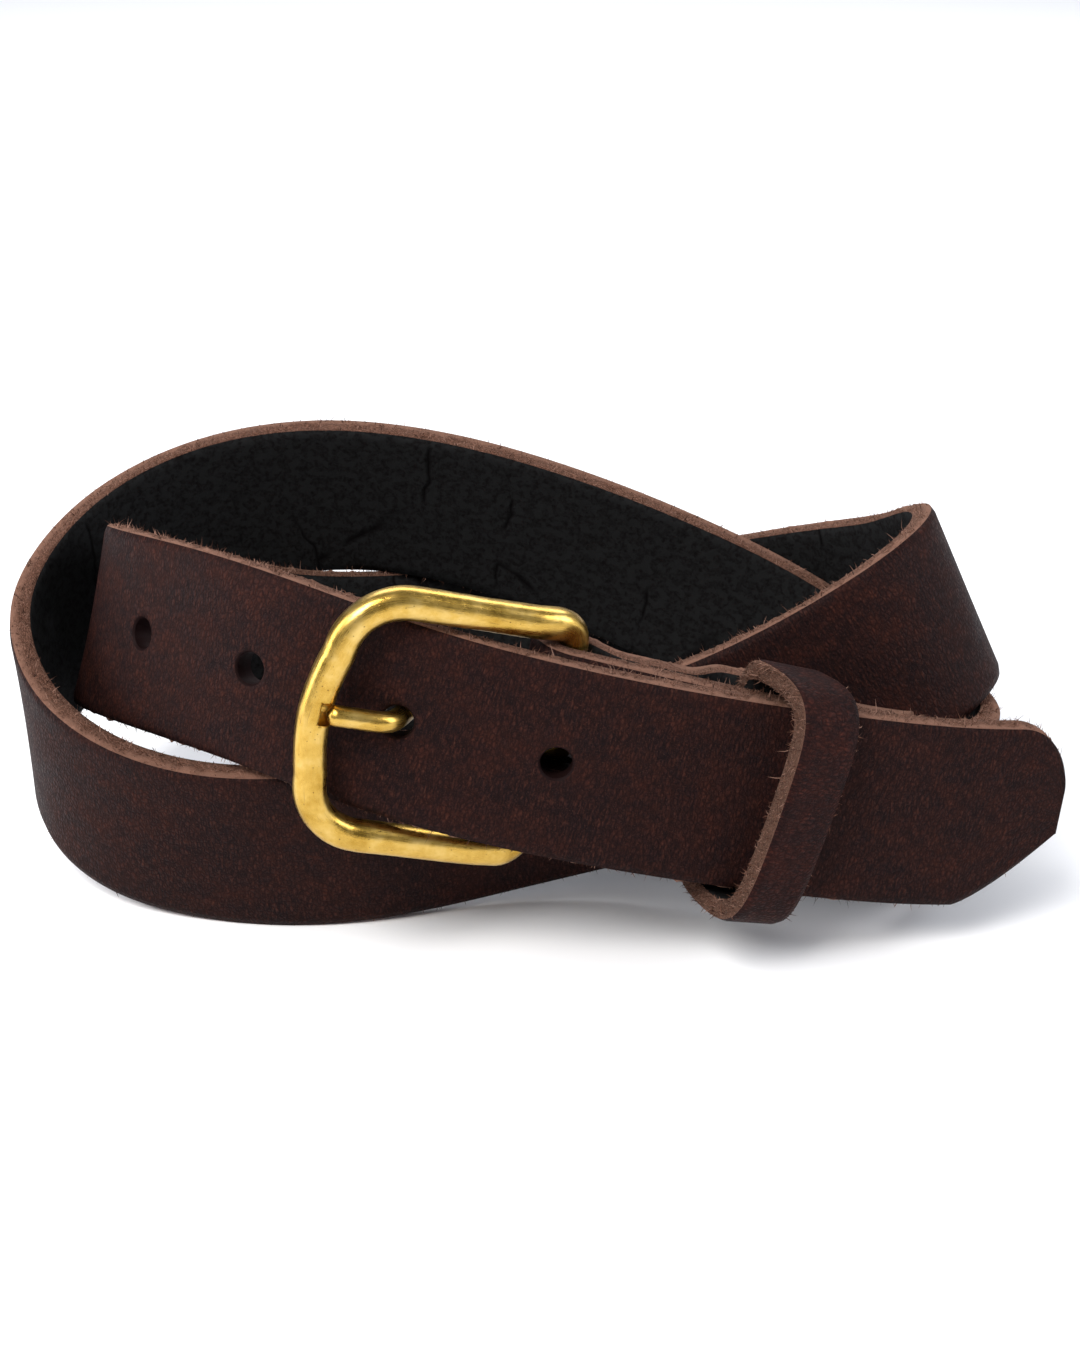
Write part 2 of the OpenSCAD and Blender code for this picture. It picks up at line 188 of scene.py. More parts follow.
# ---------------------------------------------------------------- mesh helpers
def new_object(name, vertices, faces, uvs=None, material_index=None, smooth=True):
    """A mesh object from points in millimetres, with a UV pair for each face corner."""
    mesh = bpy.data.meshes.new(name)
    mesh.from_pydata([tuple(v) for v in np.asarray(vertices) * MM], [], [tuple(f) for f in faces])
    if uvs is not None:
        layer = mesh.uv_layers.new(name="along_across")
        layer.data.foreach_set("uv", np.asarray(uvs, np.float32).ravel())
    if material_index is not None:
        mesh.polygons.foreach_set("material_index", np.asarray(material_index, np.int32))
    mesh.polygons.foreach_set("use_smooth", np.full(len(mesh.polygons), smooth))
    mesh.update()
    obj = bpy.data.objects.new(name, mesh)
    bpy.context.scene.collection.objects.link(obj)
    return obj


def tube_between_rings(rings, around, along, closed_path, part_of=None):
    """Faces, UVs and material numbers of a skin over rings of points.

    rings is an array (ring, point, 3); around gives each ring point's second UV value, with one
    more at the end; along gives each ring's first UV value, with one more if the path is closed.
    """
    n, m = rings.shape[:2]
    faces, uvs, parts = [], [], []
    for i in range(n if closed_path else n - 1):
        j = (i + 1) % n
        for k in range(m):
            q = (k + 1) % m
            faces.append((i * m + k, j * m + k, j * m + q, i * m + q))
            uvs += [(along[i], around[k]), (along[i + 1], around[k]),
                    (along[i + 1], around[k + 1]), (along[i], around[k + 1])]
            parts.append(part_of[k] if part_of is not None else 0)
    return faces, uvs, parts


def cap_faces(first, count, flip, uv, part):
    """One end of a tube, closed with a single face."""
    ring = list(range(first, first + count))
    return [tuple(ring[::-1] if flip else ring)], [uv] * count, [part]


def rough(points, scale, amount, seed):
    """Smooth noise in millimetres at each point, from -amount to amount."""
    shift = Vector((seed * 7.3, seed * 3.1, seed * 5.7))
    return np.array([noise.noise(Vector(p) * scale + shift) for p in points]) * 2 * amount


# ---------------------------------------------------------------- strap
GRAIN, EDGE, FLESH = 0, 1, 2
FACE_STEPS, WALL_STEPS, FLESH_STEPS = 26, 6, 18
GRAIN_ROUND, FLESH_ROUND, WALL_CROWN = 0.32, 0.18, 0.10


def wall_row(f, sign):
    """One point of a cut edge, from the grain face (f = 0) to the flesh face (f = 1)."""
    drop = (STRAP_T - GRAIN_ROUND - FLESH_ROUND) * f
    height = STRAP_T / 2 - GRAIN_ROUND - drop
    return sign, -WALL_CROWN * math.sin(math.pi * f), height, EDGE, sign


def strap_profile():
    """The section's outline: side (-1 to 1), inset in mm, height in mm, part, wall outward."""
    t = STRAP_T / 2
    rows = []
    for a in np.linspace(-1, 1, FACE_STEPS + 1):
        near = max(0.0, abs(a) - 0.93) / 0.07
        rows.append((a, 0.0, t - GRAIN_ROUND * near**2, GRAIN, 0))
    rows += [wall_row(k / WALL_STEPS, 1) for k in range(1, WALL_STEPS)]
    for a in np.linspace(1, -1, FLESH_STEPS + 1):
        near = max(0.0, abs(a) - 0.9) / 0.1
        rows.append((a, 0.0, -t + FLESH_ROUND * near**2, FLESH, 0))
    rows += [wall_row(1 - k / WALL_STEPS, -1) for k in range(1, WALL_STEPS)]
    return rows


def profile_parts(kinds):
    """Which finish each face of an outline takes: a face with a wall point is raw edge."""
    following = kinds[1:] + kinds[:1]
    return [EDGE if EDGE in pair else pair[0] for pair in zip(kinds, following)]


def build_strap():
    """The whole strap: skin over its sections, with ragged walls and a rough flesh side."""
    centre, across, grain, reaches, run = strap_sections(1.0)
    rows = strap_profile()
    side = np.array([r[0] for r in rows])
    inset = np.array([r[1] for r in rows])
    height = np.array([r[2] for r in rows])
    wall = np.array([r[4] for r in rows])
    n, m = len(centre), len(rows)
    upper, lower = reaches[:, :1], reaches[:, 1:]
    place = (upper - lower) / 2 + side * (upper + lower) / 2 - inset * np.sign(side)
    rings = (centre[:, None, :] + across[:, None, :] * place[:, :, None]
             + grain[:, None, :] * height[None, :, None])
    for k in np.nonzero(wall)[0]:
        bumps = rough(rings[:, k], 0.8, 0.30, 1) + rough(rings[:, k], 2.6, 0.16, 2)
        rings[:, k] += across * (bumps * wall[k])[:, None]
    flesh = [k for k, r in enumerate(rows) if r[3] == FLESH and abs(r[0]) < 0.99]
    for k in flesh:
        bumps = rough(rings[:, k], 0.45, 0.10, 3)
        rings[:, k] += grain * bumps[:, None]
    across_uv = np.concatenate([[0], np.cumsum([
        math.hypot((side[(k + 1) % m] - side[k]) * STRAP_W / 2, height[(k + 1) % m] - height[k])
        for k in range(m)])])
    parts = profile_parts([r[3] for r in rows])
    faces, uvs, material = tube_between_rings(rings, across_uv, run, False, parts)
    for first, flip, where in ((0, False, 0), (n * m - m, True, -1)):
        f, u, p = cap_faces(first, m, flip, (run[where], 30.0), EDGE)
        faces += f
        uvs += u
        material += p
    return new_object("belt_strap", rings.reshape(-1, 3), faces, uvs, material)


def cutter(name, points_rings):
    """A closed tool body from rings of points, to cut an opening."""
    rings = np.asarray(points_rings)[:, ::-1]
    n, m = rings.shape[:2]
    faces, _, _ = tube_between_rings(rings, np.zeros(m + 1), np.zeros(n + 1), False)
    faces += [tuple(range(m)), tuple(range(n * m - m, n * m))[::-1]]
    return new_object(name, rings.reshape(-1, 3), faces, smooth=False)


def round_cutter(name, base, axis, side_a, side_b, profile, sides=40):
    """A turned cutter: profile is (distance along axis, radius) pairs."""
    turn = np.arange(sides) * 2 * math.pi / sides
    ring = np.cos(turn)[:, None] * side_a + np.sin(turn)[:, None] * side_b
    return cutter(name, [base + axis * h + ring * r for h, r in profile])


def cut_away(obj, tools):
    """Cuts the tools out of obj and removes them."""
    for tool in tools:
        modifier = obj.modifiers.new("cut", "BOOLEAN")
        modifier.operation, modifier.object, modifier.solver = "DIFFERENCE", tool, "MANIFOLD"
    bpy.context.view_layer.update()
    graph = bpy.context.evaluated_depsgraph_get()
    cut = bpy.data.meshes.new_from_object(obj.evaluated_get(graph))
    cut.name = obj.data.name + "_cut"
    obj.modifiers.clear()
    obj.data = cut
    for tool in tools:
        bpy.data.objects.remove(tool)


def strap_cutters():
    """The five holes with eased rims, the screw sets' steps and the tongue's slot."""
    tools = []
    lip = 0.35
    for k in range(5):
        s = LINE.length - TONGUE_HOLE_FROM_TIP + (1 - k) * HOLE_PITCH
        p, t, w, n = LINE.one(s)
        r, top = HOLE_D / 2, STRAP_T / 2
        profile = [(-top - 1, r * 1.02), (0, r * 0.98), (top - lip, r), (top + 0.05, r + lip),
                   (top + 1, r + 2 * lip)]
        tools.append(round_cutter(f"hole_{k}", p, n, t, w, profile))
    for s in (SCREW_NEAR, SCREW_FAR):
        p, t, w, n = LINE.one(s)
        front, back = STRAP_T / 2, -STRAP_T / 2 - CLAMPED
        barrel, head = BARREL_D / 2 + 0.05, HEAD_D / 2 + 0.05
        profile = [(back - 1, head), (back + SINK, head), (back + SINK, barrel),
                   (front - SINK, barrel), (front - SINK, head), (front + 1, head)]
        tools.append(round_cutter(f"screw_{s:.0f}", p, n, t, w, profile, 48))
    corners = [(-FOLD_R - 5, -3.2), (7, -3.2), (7, 3.2), (-FOLD_R - 5, 3.2)]
    deep = FOLD_R + STRAP_T
    tools.append(cutter("slot", [at_heel([[x, y, z] for x, y in corners]) for z in (-deep, deep)]))
    return tools


# ---------------------------------------------------------------- fuzz on the cut edges
def spikes(name, roots, ways, along, lengths, widths, bends, shade_of):
    """Short bent fibres, each a closed three-sided spike."""
    vertices, faces, shades = [], [], []
    third = 2 * math.pi / 3
    for k, (root, way, run) in enumerate(zip(roots, ways, along)):
        side = np.cross(way, run)
        r, length = widths[k], lengths[k]
        base = len(vertices)
        ring = [run * math.cos(third * i) + side * math.sin(third * i) for i in range(3)]
        bend = bends[k]
        start = root - way * 0.08
        middle = root + way * length * 0.5 + bend * length * 0.15
        tip = root + way * length + bend * length * 0.6
        vertices += [start + q * r for q in ring] + [middle + q * r * 0.75 for q in ring] + [tip]
        for i in range(3):
            j = (i + 1) % 3
            faces.append((base + i, base + j, base + 3 + j, base + 3 + i))
            faces.append((base + 3 + i, base + 3 + j, base + 6))
        faces.append((base + 2, base + 1, base))
        shades += [shade_of[k]] * 7
    return new_object(name, vertices, faces, material_index=shades, smooth=False)


def strap_fuzz():
    """Loose fibres along both cut edges of the strap."""
    rng = np.random.default_rng(11)
    per_edge = 6500
    lo, hi = 0.5, LINE.length - 1.0
    roots, ways, along = [], [], []
    for sign in (1, -1):
        s = rng.uniform(lo, hi, per_edge)
        p, t, w, n = LINE.at(s)
        h = rng.beta(1.1, 0.8, per_edge)
        g = (h - 0.5) * (STRAP_T - 0.7) * -1 - 0.1
        edge = np.where(sign > 0, *reach(s))
        roots.append(p + w * (sign * edge)[:, None] + n * g[:, None])
        lean = rng.normal(0, 0.45, (per_edge, 2))
        ways.append(unit(w * sign + t * lean[:, :1] + n * lean[:, 1:]))
        along.append(t)
    roots, ways, along = (np.vstack(x) for x in (roots, ways, along))
    count = len(roots)
    side = unit(np.cross(ways, along))
    along = np.cross(side, ways)
    lengths = rng.gamma(2.2, 0.17, count) + 0.15
    widths = rng.uniform(0.05, 0.10, count)
    bends = rng.normal(0, 1, (count, 3))
    shades = rng.choice(3, count, p=[0.35, 0.45, 0.2])
    return spikes("strap_edge_fuzz", roots, ways, along, np.minimum(lengths, 1.3), widths, bends,
                  shades)


# ---------------------------------------------------------------- keeper
BACK = -STRAP_T / 2 - KEEPER_ROOM - KEEPER_T / 2
OUTLINE = np.array([
    [-9, BACK], [9, BACK], [17.4, BACK], [19.8, BACK + 1.8],
    [20.9, 3.5], [21.1, 9], [17.9, 12.9], [7, 13.2], [-4, 13.2], [-13.6, 12.6],
    [-18, 9.6], [-18.9, 3.5], [-19, BACK + 1.8], [-17.2, BACK]])
DRAW, FRONT = 0.31, 13 - BACK
KEEPER_GRAIN_ROUND, KEEPER_FLESH_ROUND, KEEPER_CROWN, KEEPER_WALL_STEPS = 0.3, 0.15, 0.08, 6


def keeper_sections(per_knot):
    """Centre, width way and outward way of each section, in the strap's frame at the keeper."""
    n = len(OUTLINE)
    wrapped = np.vstack([OUTLINE, OUTLINE[:3]])
    u = np.arange(n * per_knot) / per_knot
    i = u.astype(int)
    p, d = spline_rows(wrapped, i, u - i)
    out = (p[:, 1] - BACK) / FRONT
    x = DRAW * (p[:, 1] - BACK)
    yaw = np.arctan(DRAW) * out
    zero = np.zeros(len(p))
    wide = np.stack([np.cos(yaw), zero, -np.sin(yaw)], 1)
    way = unit(np.stack([DRAW * d[:, 1], d[:, 0], d[:, 1]], 1))
    outward = -unit(np.cross(wide, way))
    return np.stack([x, p[:, 0], p[:, 1]], 1), wide, outward


def keeper_profile():
    """Outline of the keeper's strip: across its width, outward, part and wall sign."""
    w, t = KEEPER_W / 2, KEEPER_T / 2
    drop = KEEPER_T - KEEPER_GRAIN_ROUND - KEEPER_FLESH_ROUND

    def wall_row(k, sign):
        f = k / KEEPER_WALL_STEPS
        out = w + KEEPER_CROWN * math.sin(math.pi * f)
        return sign * out, t - KEEPER_GRAIN_ROUND - drop * f, EDGE, sign

    rows = []
    for a in np.linspace(-1, 1, 11):
        near = max(0.0, abs(a) - 0.8) / 0.2
        rows.append((a * w, t - KEEPER_GRAIN_ROUND * near**2, GRAIN, 0))
    rows += [wall_row(k, 1) for k in range(1, KEEPER_WALL_STEPS)]
    for a in np.linspace(1, -1, 9):
        near = max(0.0, abs(a) - 0.8) / 0.2
        rows.append((a * w, -t + KEEPER_FLESH_ROUND * near**2, FLESH, 0))
    rows += [wall_row(k, -1) for k in range(KEEPER_WALL_STEPS - 1, 0, -1)]
    return rows


def strap_frame_points(points, s):
    """Points given along, across and outward of the strap at a distance s."""
    p, t, w, n = LINE.one(s)
    points = np.asarray(points)
    return p + points[..., :1] * t + points[..., 1:2] * w + points[..., 2:3] * n


def build_keeper():
    """The keeper loop: its strip swept round the outline."""
    centre, wide, outward = keeper_sections(16)
    rows = keeper_profile()
    a = np.array([r[0] for r in rows])
    g = np.array([r[1] for r in rows])
    wall = np.array([r[3] for r in rows])
    rings = (centre[:, None, :] + wide[:, None, :] * a[None, :, None]
             + outward[:, None, :] * g[None, :, None])
    for k in np.nonzero(wall)[0]:
        bumps = rough(rings[:, k], 1.1, 0.14, 5)
        rings[:, k] += wide * (bumps * wall[k])[:, None]
    step = np.linalg.norm(np.roll(centre, -1, 0) - centre, axis=1)
    along = np.concatenate([[0], np.cumsum(step)])
    around = np.concatenate([[0], np.cumsum(np.hypot(np.roll(a, -1) - a, np.roll(g, -1) - g))])
    parts = profile_parts([r[2] for r in rows])
    points = strap_frame_points(rings, KEEPER_S)
    faces, uvs, material = tube_between_rings(points, around, along, True, parts)
    return new_object("keeper_loop", points.reshape(-1, 3), faces, uvs, material)


def keeper_fuzz():
    """Loose fibres along both rims of the keeper."""
    rng = np.random.default_rng(5)
    centre, wide, outward = keeper_sections(64)
    pick = rng.integers(0, len(centre), 2600)
    sign = rng.choice([-1, 1], len(pick), p=[0.6, 0.4])
    g = rng.uniform(-KEEPER_T / 2, KEEPER_T / 2 - 0.3, len(pick))
    local = centre[pick] + wide[pick] * (sign * KEEPER_W / 2)[:, None] + outward[pick] * g[:, None]
    way = unit(wide[pick] * sign[:, None] + rng.normal(0, 0.4, (len(pick), 3)))
    turn = np.stack(LINE.one(KEEPER_S)[1:])
    roots = strap_frame_points(local, KEEPER_S)
    ways = way @ turn
    run = unit(np.cross(ways, outward[pick] @ turn))
    lengths = np.minimum(rng.gamma(2.2, 0.16, len(pick)) + 0.15, 1.1)
    widths = rng.uniform(0.05, 0.09, len(pick))
    bends = rng.normal(0, 1, (len(pick), 3))
    shades = rng.choice(3, len(pick), p=[0.25, 0.45, 0.3])
    return spikes("keeper_edge_fuzz", roots, ways, run, lengths, widths, bends, shades)


# ---------------------------------------------------------------- buckle
def dish(x):
    """The buckle's height over its heel bar at x, so that its front clears the strap."""
    x = np.asarray(x, float)
    reach = np.maximum(-FRAME_REACH, x)
    return np.where(x > -RISE_RUN, -x / RISE_RUN * HEEL_RISE,
                    HEEL_RISE - (reach + RISE_RUN) / (FRAME_REACH - RISE_RUN)
                    * (FRONT_RISE - HEEL_RISE))


def frame_outline():
    """Half of the buckle's centre line as corner points with a radius, heel to front."""
    bar = FRAME_H / 2 - BAR_R
    span = bar - FRONT_CORNER
    turn = np.radians(np.linspace(0, 90, 10))
    heel = [(-HEEL_CORNER + HEEL_CORNER * math.cos(a), bar - HEEL_CORNER + HEEL_CORNER * math.sin(a))
            for a in turn]
    sides = [(x, bar) for x in (-7, -11, -15, -19, -23)]
    turn = np.radians(np.linspace(90, 180, 14))
    front = [(FRONT_CORNER - FRAME_REACH + FRONT_CORNER * math.cos(a),
              span + FRONT_CORNER * math.sin(a)) for a in turn]
    bow = [(-FRONT_BOW * (1 - (k / 8) ** 2) - FRAME_REACH, span * k / 8) for k in range(7, 0, -1)]
    half = heel + sides + front + bow
    heel_bar = [(0.0, y) for y in np.linspace(0, bar - HEEL_CORNER - 1.5, 6)]
    one = heel_bar + half + [(-FRONT_BOW - FRAME_REACH, 0.0)]
    other = [(x, -y) for x, y in one[::-1][1:-1]]
    flat = np.array(one + other)
    return np.stack([flat[:, 0], flat[:, 1] + FRAME_DROP, dish(flat[:, 0])], 1)


def even_loop(points, step):
    """A closed line resampled at an even step and smoothed a little."""
    closed = np.vstack([points, points[:1]])
    s = np.concatenate([[0], np.cumsum(np.linalg.norm(np.diff(closed, axis=0), axis=1))])
    count = int(s[-1] / step)
    at = np.arange(count) * s[-1] / count
    line = np.stack([np.interp(at, s, closed[:, k]) for k in range(3)], 1)
    for _ in range(3):
        line = (np.roll(line, 1, 0) + 2 * line + np.roll(line, -1, 0)) / 4
    return line, s[-1]


def build_buckle():
    """The frame and its heel bar: a squarish bar with soft waves, round at the heel."""
    line, length = even_loop(frame_outline(), 0.5)
    way = unit(np.roll(line, -1, 0) - np.roll(line, 1, 0))
    top = np.array([0.12, 0, 1.0])
    side = unit(np.cross(way, np.tile(top, (len(line), 1))))
    face = np.cross(side, way)
    sides = 32
    turn = np.arange(sides) * 2 * math.pi / sides
    flat = 2.35
    ca, sa = np.cos(turn), np.sin(turn)
    shape_a = np.sign(ca) * np.abs(ca) ** (2 / flat)
    shape_b = np.sign(sa) * np.abs(sa) ** (2 / flat)
    heel = np.clip((line[:, 0] + 3.5) / 3.0, 0, 1)[:, None]
    wave = rough(line, 0.16, 0.05, 7)[:, None]
    r = BAR_R + 0.12 * (1 - heel) + wave * (1 - heel)
    a = (ca * heel + shape_a * (1 - heel)) * r
    b = (sa * heel + shape_b * (1 - heel)) * (r - 0.08 * (1 - heel))
    rings = line[:, None, :] + side[:, None, :] * a[:, :, None] + face[:, None, :] * b[:, :, None]
    points = at_heel(rings.reshape(-1, 3)).reshape(rings.shape)
    along = np.linspace(0, length, len(line) + 1)
    around = np.linspace(0, 2 * math.pi * BAR_R, sides + 1)
    faces, uvs, _ = tube_between_rings(points, around, along, True)
    return new_object("buckle_bar", points.reshape(-1, 3), faces, uvs)


# The tongue's arm seen from the side: along and outward of the heel bar's axis.
ARM = np.array([[-3.6, 0.9], [-8, 0.9], [-14, 0.9], [-20.2, 0.9], [-22.5, 1.7], [-23.6, 4.2],
                [-24.7, 8.2], [-25.8, 10.4], [-28.0, 11.5], [-31, 12.0], [-35.8, 12.9]])


def smooth_path(points, per_knot):
    """An even cubic B-spline near the points, through the first and last."""
    knots = np.vstack([2 * points[0] - points[1], points, 2 * points[-1] - points[-2]])
    u = np.linspace(0, len(points) - 1, (len(points) - 1) * per_knot + 1)
    i = np.minimum(u.astype(int), len(points) - 2)
    return spline_rows(knots, i, u - i)


def build_tongue():
    """The eye wrapped on the heel bar and the arm, as one bent rod with a flattened eye."""
    inner = BAR_R + 0.08
    turn = np.radians(np.arange(150, -181, -10))
    eye_r = inner + 1.0
    eye = np.stack([eye_r * np.cos(turn), eye_r * np.sin(turn)], 1)
    arm, _ = smooth_path(ARM, 6)
    path = np.vstack([eye[:-2], arm])
    path = np.stack([path[:, 0], np.zeros(len(path)), path[:, 1]], 1)
    way = unit(np.gradient(path, axis=0))
    wide = np.tile([0.0, 1.0, 0.0], (len(path), 1))
    thick = np.cross(way, wide)
    s = np.concatenate([[0], np.cumsum(np.linalg.norm(np.diff(path, axis=0), axis=1))])
    eye_len = s[len(eye) - 2]
    on_arm = ease(0, 1, (s - eye_len) / 5)
    half_wide = 2.8 * (1 - on_arm) + TONGUE_D / 2 * on_arm
    half_thick = 0.95 * (1 - on_arm) + TONGUE_D / 2 * on_arm
    to_end = s[-1] - s
    tip = np.sqrt(np.clip(1 - np.clip(1 - to_end / 1.3, 0, 1) ** 2, 0.0, 1))
    tip = np.maximum(tip, 0.25)
    sides = 24
    turn = np.arange(sides) * 2 * math.pi / sides
    rings = (path[:, None, :]
             + wide[:, None, :] * (np.cos(turn)[None, :] * (half_wide * tip)[:, None])[:, :, None]
             - thick[:, None, :] * (np.sin(turn)[None, :] * (half_thick * tip)[:, None])[:, :, None])
    points = at_heel(rings.reshape(-1, 3)).reshape(rings.shape)
    around = np.linspace(0, math.pi * TONGUE_D, sides + 1)
    faces, uvs, _ = tube_between_rings(points, around, s, False)
    for first, flip, at in ((0, False, 0.0), ((len(s) - 1) * sides, True, s[-1])):
        f, u, _ = cap_faces(first, sides, flip, (at, 0.0), 0)
        faces += f
        uvs += u
    return new_object("buckle_tongue", points.reshape(-1, 3), faces, uvs)


def notch_cutter():
    """The seat for the tongue's point in the front bar."""
    start, end = np.array([-29.0, 0, 11.7]), np.array([-36.9, 0, 13.1])
    way = unit(end - start)
    side = np.array([0.0, 1.0, 0.0])
    up = np.cross(way, side)
    turn = np.arange(32) * 2 * math.pi / 32
    ring = np.cos(turn)[:, None] * side + np.sin(turn)[:, None] * up
    r = TONGUE_D / 2 + 0.25
    return cutter("notch", [at_heel(p + ring * r) for p in (start, end)])


# ---------------------------------------------------------------- material helpers
class Graph:
    """Short names for building a material's nodes."""

    def __init__(self, name):
        self.material = bpy.data.materials.new(name)
        self.material.use_nodes = True
        self.tree = self.material.node_tree
        self.shader = self.tree.nodes["Principled BSDF"]

    def node(self, kind, **settings):
        made = self.tree.nodes.new(kind)
        for key, value in settings.items():
            setattr(made, key, value)
        return made

    def feed(self, socket, value):
        if hasattr(value, "links"):
            self.tree.links.new(value, socket)
        else:
            socket.default_value = value

    def math(self, operation, a, b=0.0, c=0.0):
        made = self.node("ShaderNodeMath", operation=operation)
        for socket, value in zip(made.inputs, (a, b, c)):
            self.feed(socket, value)
        return made.outputs[0]

    def strap_vector(self, along, across, warp=0.0, warp_scale=1.0):
        """The UV pair in mm, scaled along and across, with an optional wobble."""
        uv = self.node("ShaderNodeUVMap", uv_map="along_across").outputs[0]
        if warp:
            wobble = self.noise(self.scaled(uv, (warp_scale, warp_scale, 1)), 1.0, 2)
            offset = self.node("ShaderNodeVectorMath", operation="MULTIPLY_ADD")
            self.feed(offset.inputs[0], wobble[1])
            offset.inputs[1].default_value = (warp, warp, 0)
            self.feed(offset.inputs[2], uv)
            uv = offset.outputs[0]
        return self.scaled(uv, (along, across, 1))

    def scaled(self, vector, scale):
        made = self.node("ShaderNodeVectorMath", operation="MULTIPLY")
        self.feed(made.inputs[0], vector)
        made.inputs[1].default_value = scale
        return made.outputs[0]

    def noise(self, vector, scale, detail=3.0, roughness=0.55):
        made = self.node("ShaderNodeTexNoise")
        self.feed(made.inputs["Vector"], vector)
        made.inputs["Scale"].default_value = scale
        made.inputs["Detail"].default_value = detail
        made.inputs["Roughness"].default_value = roughness
        return made.outputs["Fac"], made.outputs["Color"]

    def voronoi(self, vector, scale, feature="F1"):
        made = self.node("ShaderNodeTexVoronoi", feature=feature)
        self.feed(made.inputs["Vector"], vector)
        made.inputs["Scale"].default_value = scale
        return made.outputs["Distance"]

    def ramp(self, value, stops):
        made = self.node("ShaderNodeValToRGB")
        self.feed(made.inputs[0], value)
        ramp = made.color_ramp
        while len(ramp.elements) < len(stops):
            ramp.elements.new(0.5)
        for element, (place, colour) in zip(ramp.elements, stops):
            element.position = place
            grey = isinstance(colour, (int, float))
            element.color = (colour,) * 3 + (1,) if grey else tuple(colour) + (1,)
        return made.outputs["Color"]

    def mix(self, share, a, b):
        made = self.node("ShaderNodeMix", data_type="RGBA")
        self.feed(made.inputs["Factor"], share)
        for socket, value in ((made.inputs["A"], a), (made.inputs["B"], b)):
            self.feed(socket, value if hasattr(value, "links") else tuple(value) + (1,))
        return made.outputs["Result"]

    def bump(self, height, distance_mm, strength=1.0, under=None):
        made = self.node("ShaderNodeBump")
        made.inputs["Strength"].default_value = strength
        made.inputs["Distance"].default_value = distance_mm * MM
        self.feed(made.inputs["Height"], height)
        if under is not None:
            self.feed(made.inputs["Normal"], under)
        return made.outputs[0]

    def set(self, **values):
        names = {"colour": "Base Color", "roughness": "Roughness", "normal": "Normal",
                 "metallic": "Metallic", "specular": "Specular IOR Level",
                 "sheen": "Sheen Weight", "sheen_roughness": "Sheen Roughness",
                 "sheen_tint": "Sheen Tint"}
        for key, value in values.items():
            socket = self.shader.inputs[names[key]]
            if isinstance(value, tuple) and len(value) == 3:
                value = value + (1,)
            self.feed(socket, value)
        return self.material


def grain_leather(name, warmth=1.0):
    """Dark brown pull-up leather: fine creased cells with painted shade in the creases, short
    streaks across, rusty mottling and bluish-grey patches of painted sheen.
    """
    g = Graph(name)
    cells = g.voronoi(g.strap_vector(1.55, 1.0, 0.45, 1.2), 1.0, "DISTANCE_TO_EDGE")
    crease = g.math("SUBTRACT", 1.0, g.math("MINIMUM", g.math("MULTIPLY", cells, 3.2), 1.0))
    streak, _ = g.noise(g.strap_vector(2.6, 0.55, 0.3, 0.8), 1.0, 4, 0.62)
    fine, _ = g.noise(g.strap_vector(6.0, 4.0), 1.0, 2, 0.5)
    mottle, _ = g.noise(g.strap_vector(0.10, 0.14, 3.0, 0.05), 1.0, 4, 0.55)
    patch, _ = g.noise(g.strap_vector(0.45, 0.35, 1.0, 0.2), 1.0, 3, 0.6)
    base = g.ramp(streak, [(0.32, (0.0060, 0.0028, 0.0030)),
                           (0.50, (0.0185 * warmth, 0.0066, 0.0058)),
                           (0.68, (0.0560 * warmth, 0.0185, 0.0125))])
    rust = g.ramp(mottle, [(0.38, 0.0), (0.68, 1.0)])
    warm = g.mix(g.math("MULTIPLY", rust, 0.40), base, (0.060 * warmth, 0.0150, 0.0080))
    # Painted reflection: patches tinted bluish-grey stand in for the cool sheen of reflected sky on
    # the grain.
    painted_sheen_patch = g.ramp(patch, [(0.35, 0.55), (0.62, 0.0)])
    sheen_tinted = g.mix(painted_sheen_patch, warm, (0.0085, 0.0050, 0.0062))
    # Painted shade: the colour is darkened along the creases between the cells, where shade falls in
    # the grooves.
    crease_shaded = g.mix(g.math("MULTIPLY", crease, 0.62), sheen_tinted, (0.0045, 0.0025, 0.0025))
    specks = g.ramp(fine, [(0.60, 0.0), (0.74, 0.5)])
    colour = g.mix(specks, crease_shaded, (0.085, 0.038, 0.028))
    height = g.math("SUBTRACT", g.math("MULTIPLY", streak, 0.55), g.math("MULTIPLY", crease, 0.6))
    normal = g.bump(height, 0.16, 0.7)
    normal = g.bump(fine, 0.05, 0.6, normal)
    normal = g.bump(patch, 0.5, 0.12, normal)
    rough_map = g.math("ADD", g.math("MULTIPLY", mottle, 0.22),
                       g.math("MULTIPLY_ADD", crease, 0.15, 0.38))
    return g.set(colour=colour, roughness=rough_map, normal=normal, specular=0.05)


